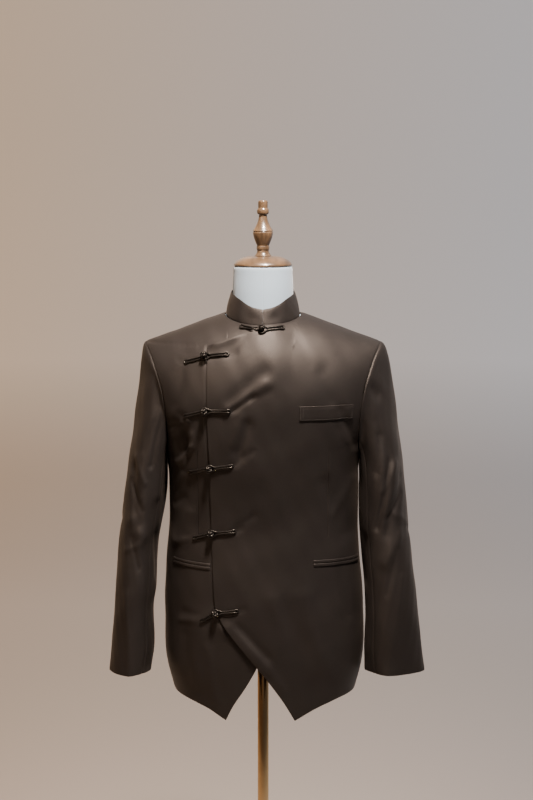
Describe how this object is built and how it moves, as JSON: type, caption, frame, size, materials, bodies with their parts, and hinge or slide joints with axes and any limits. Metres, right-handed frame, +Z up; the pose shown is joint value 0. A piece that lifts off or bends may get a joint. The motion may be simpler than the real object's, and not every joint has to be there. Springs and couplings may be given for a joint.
{
  "type": "mandarin collar shirt jacket on a dress form",
  "caption": "Tailored mandarin collar jacket with an asymmetric front and knotted frog closures, worn on a limbless dress form with a turned finial, pole and round base.",
  "frame": {"origin": "centre of the round base's flat underside, on the floor under the pole", "axes": "+Z up along the pole, -Y the way the front faces, +X the wearer's left"},
  "size_m": [0.619, 0.35, 1.6505],
  "materials": {
    "cloth": "fine dark brown-black worsted with a satin sheen",
    "cord": "black satin cord",
    "jersey": "smooth white jersey",
    "wood": "varnished turned wood",
    "metal": "polished"
  },
  "bodies": {
    "root": {"front_over": "cloth", "front_under": "cloth", "back": "cloth", "collar_left": "cloth", "collar_right": "cloth", "sleeve_top_left": "cloth", "sleeve_under_left": "cloth", "sleeve_top_right": "cloth", "sleeve_under_right": "cloth", "breast_welt": "cloth", "hip_jet_upper_left": "cloth", "hip_jet_lower_left": "cloth", "hip_jet_upper_right": "cloth", "hip_jet_lower_right": "cloth", "frog_1_button_strap": "cord", "frog_1_loop_strap": "cord", "frog_1_knot": "cord", "frog_2_button_strap": "cord", "frog_2_loop_strap": "cord", "frog_2_knot": "cord", "frog_3_button_strap": "cord", "frog_3_loop_strap": "cord", "frog_3_knot": "cord", "frog_4_button_strap": "cord", "frog_4_loop_strap": "cord", "frog_4_knot": "cord", "frog_5_button_strap": "cord", "frog_5_loop_strap": "cord", "frog_5_knot": "cord", "frog_6_button_strap": "cord", "frog_6_loop_strap": "cord", "frog_6_knot": "cord", "form_torso": "jersey", "neck_block": "jersey", "neck_cap": "wood", "finial": "wood", "form_socket": "metal", "pole": "metal", "pole_foot": "metal", "base": "metal"}
  },
  "joints": []
}
